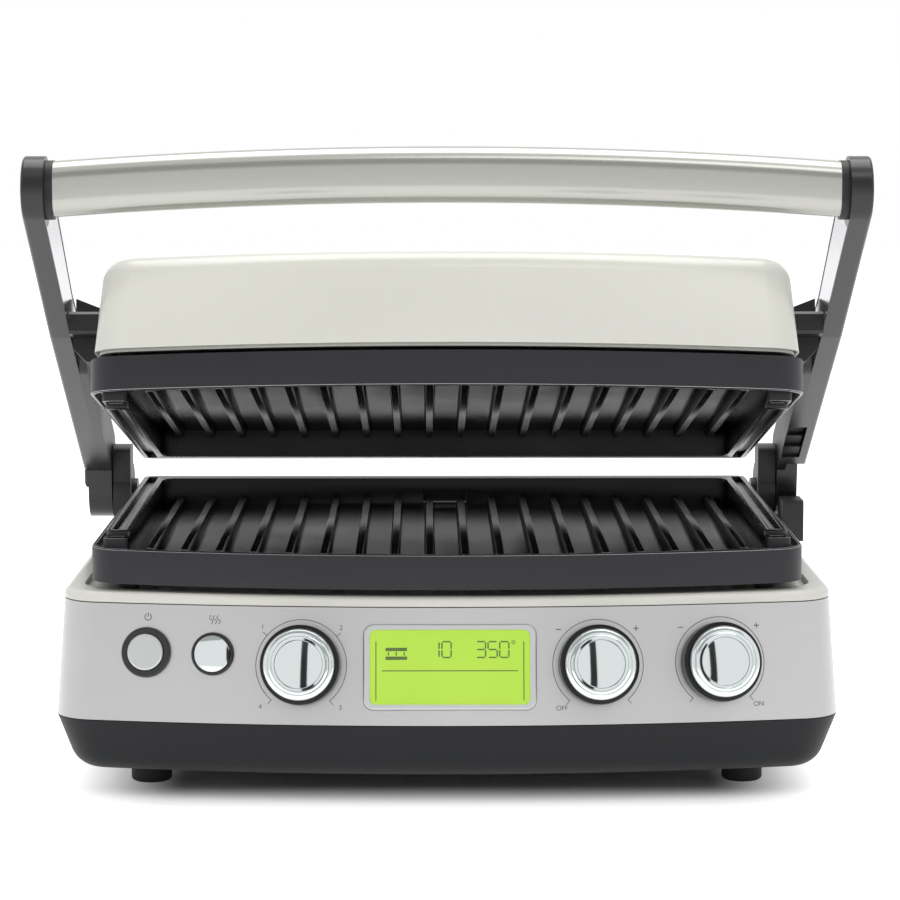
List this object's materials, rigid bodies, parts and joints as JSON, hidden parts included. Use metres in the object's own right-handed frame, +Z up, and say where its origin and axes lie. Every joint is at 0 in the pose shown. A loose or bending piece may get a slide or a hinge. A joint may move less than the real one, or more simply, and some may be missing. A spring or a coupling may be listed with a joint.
{
  "type": "panini press",
  "caption": "Counter-top contact grill with hinged floating head, removable ribbed plates, arched handle, lit display, knobs and push buttons.",
  "frame": {"origin": "on the surface that it stands on, below the middle of the whole object's box as it stands ajar", "axes": "+X to the user's right when facing the controls, +Y towards the hinge at the rear, +Z up"},
  "size_m": [0.409, 0.3413, 0.3183],
  "materials": {
    "charcoal_plastic": "satin moulded",
    "black_plastic": "fine matt",
    "arm_plastic": "satin moulded",
    "brushed_fascia": "horizontal brushed",
    "cream_paint": "semi-gloss",
    "cream_plastic": "semi-gloss",
    "handle_metal": "satin anodised",
    "chrome": "polished",
    "silver_plastic": "satin silver",
    "cast_plate": "non-stick coated",
    "bare_steel": "plain",
    "polished_liner": "polished sheet",
    "pan_sheet": "rolled sheet",
    "heater_tube": "heat-toned",
    "rubber": "soft matt",
    "window": "clear",
    "lit_display": "backlit",
    "circuit": "board"
  },
  "bodies": {
    "base": {"base_tray": "charcoal_plastic", "rubber_feet": "rubber", "base_screws": "bare_steel", "control_fascia": "brushed_fascia", "rear_panel": "charcoal_plastic", "deck_frame": "cream_plastic", "drip_tray_guide": "black_plastic", "cord_gland": "black_plastic", "power_board": "circuit", "power_components": "black_plastic", "display_bezel": "silver_plastic", "display_window": "window", "display_panel": "lit_display", "control_boards": "circuit", "knob_encoders": "black_plastic", "button_switches": "black_plastic", "start_ring": "arm_plastic", "sear_ring": "black_plastic", "lower_heater_pan": "pan_sheet", "lower_heating_element": "heater_tube", "lower_sensor": "bare_steel", "lower_plate_rests": "black_plastic", "left_hinge_post": "black_plastic", "right_hinge_post": "black_plastic", "hinge_pins": "bare_steel"},
    "arms": {"hinge_bushes": "bare_steel", "left_arm_cover": "arm_plastic", "left_arm_liner": "polished_liner", "left_arm_knuckle": "arm_plastic", "left_hinge_cap": "arm_plastic", "right_arm_cover": "arm_plastic", "right_arm_liner": "polished_liner", "right_arm_knuckle": "arm_plastic", "right_hinge_barrel": "arm_plastic", "handle_bar": "handle_metal", "handle_collars": "black_plastic", "handle_studs": "bare_steel", "pivot_pins": "bare_steel"},
    "head": {"top_cover": "cream_paint", "cover_trim": "cream_plastic", "head_frame": "black_plastic", "head_screws": "bare_steel", "right_pivot_bracket": "arm_plastic", "left_pivot_bracket": "arm_plastic", "upper_heater_pan": "pan_sheet", "upper_heating_element": "heater_tube", "upper_sensor": "bare_steel", "upper_plate_rests": "black_plastic"},
    "lower_grill": {"lower_plate": "cast_plate"},
    "upper_grill": {"upper_plate": "cast_plate"},
    "plate_dial": {"plate_knob": "chrome"},
    "temperature_dial": {"temperature_knob": "chrome"},
    "timer_dial": {"timer_knob": "chrome"},
    "start_push": {"start_button": "silver_plastic"},
    "sear_push": {"sear_button": "chrome"},
    "lower_release": {"lower_release_slide": "black_plastic"},
    "upper_release": {"upper_release_button": "black_plastic"},
    "flat_release": {"hinge_release_lever": "black_plastic"},
    "height_stop": {"height_selector": "black_plastic"},
    "grease_drawer": {"drip_tray": "black_plastic"}
  },
  "joints": [
    {"name": "arm_hinge", "type": "hinge", "parent": "base", "child": "arms", "pos_m": [0, 0.1393, 0.1196], "axis": [-1, 0, 0], "range_deg": [-12.5, 164]},
    {"name": "head_tilt", "type": "hinge", "parent": "arms", "child": "head", "pos_m": [0, -0.02304, 0.2236], "axis": [1, 0, 0], "range_deg": [0, 12.5]},
    {"name": "plate_select", "type": "hinge", "parent": "base", "child": "plate_dial", "pos_m": [-0.0707, -0.15376, 0.07], "axis": [0.0793, 0.9741, -0.2117], "range_deg": [-180, 90]},
    {"name": "temperature_set", "type": "hinge", "parent": "base", "child": "temperature_dial", "pos_m": [0.0725, -0.15361, 0.07], "axis": [-0.0813, 0.9739, -0.2117], "range_deg": [-135, 135]},
    {"name": "timer_set", "type": "hinge", "parent": "base", "child": "timer_dial", "pos_m": [0.132, -0.14658, 0.07], "axis": [-0.1481, 0.9661, -0.2117], "range_deg": [-135, 135]},
    {"name": "start_press", "type": "slide", "parent": "base", "child": "start_push", "axis": [0.1642, 0.9634, -0.2117], "range_m": [0, 0.0015], "stiffness_N_per_m": 400, "springref_m": -0.0005},
    {"name": "sear_press", "type": "slide", "parent": "base", "child": "sear_push", "axis": [0.1276, 0.969, -0.2117], "range_m": [0, 0.0015], "stiffness_N_per_m": 400, "springref_m": -0.0005},
    {"name": "lower_plate_out", "type": "slide", "parent": "base", "child": "lower_grill", "axis": [0, -1, 0], "range_m": [0, 0.27]},
    {"name": "upper_plate_out", "type": "slide", "parent": "head", "child": "upper_grill", "axis": [0, -0.9763, 0.2164], "range_m": [0, 0.27]},
    {"name": "lower_release_press", "type": "slide", "parent": "base", "child": "lower_release", "axis": [1, 0, 0], "range_m": [0, 0.004], "stiffness_N_per_m": 500, "springref_m": -0.0005},
    {"name": "upper_release_press", "type": "slide", "parent": "head", "child": "upper_release", "axis": [-1, 0, 0], "range_m": [0, 0.002], "stiffness_N_per_m": 500, "springref_m": -0.0005},
    {"name": "flat_release_pull", "type": "slide", "parent": "base", "child": "flat_release", "axis": [0, -1, 0], "range_m": [0, 0.008], "stiffness_N_per_m": 300, "springref_m": -0.001},
    {"name": "height_select", "type": "slide", "parent": "arms", "child": "height_stop", "axis": [0, -0.873, 0.4877], "range_m": [0, 0.007]},
    {"name": "grease_drawer_slide", "type": "slide", "parent": "base", "child": "grease_drawer", "axis": [0, -1, 0], "range_m": [-0.09, 0]}
  ]
}
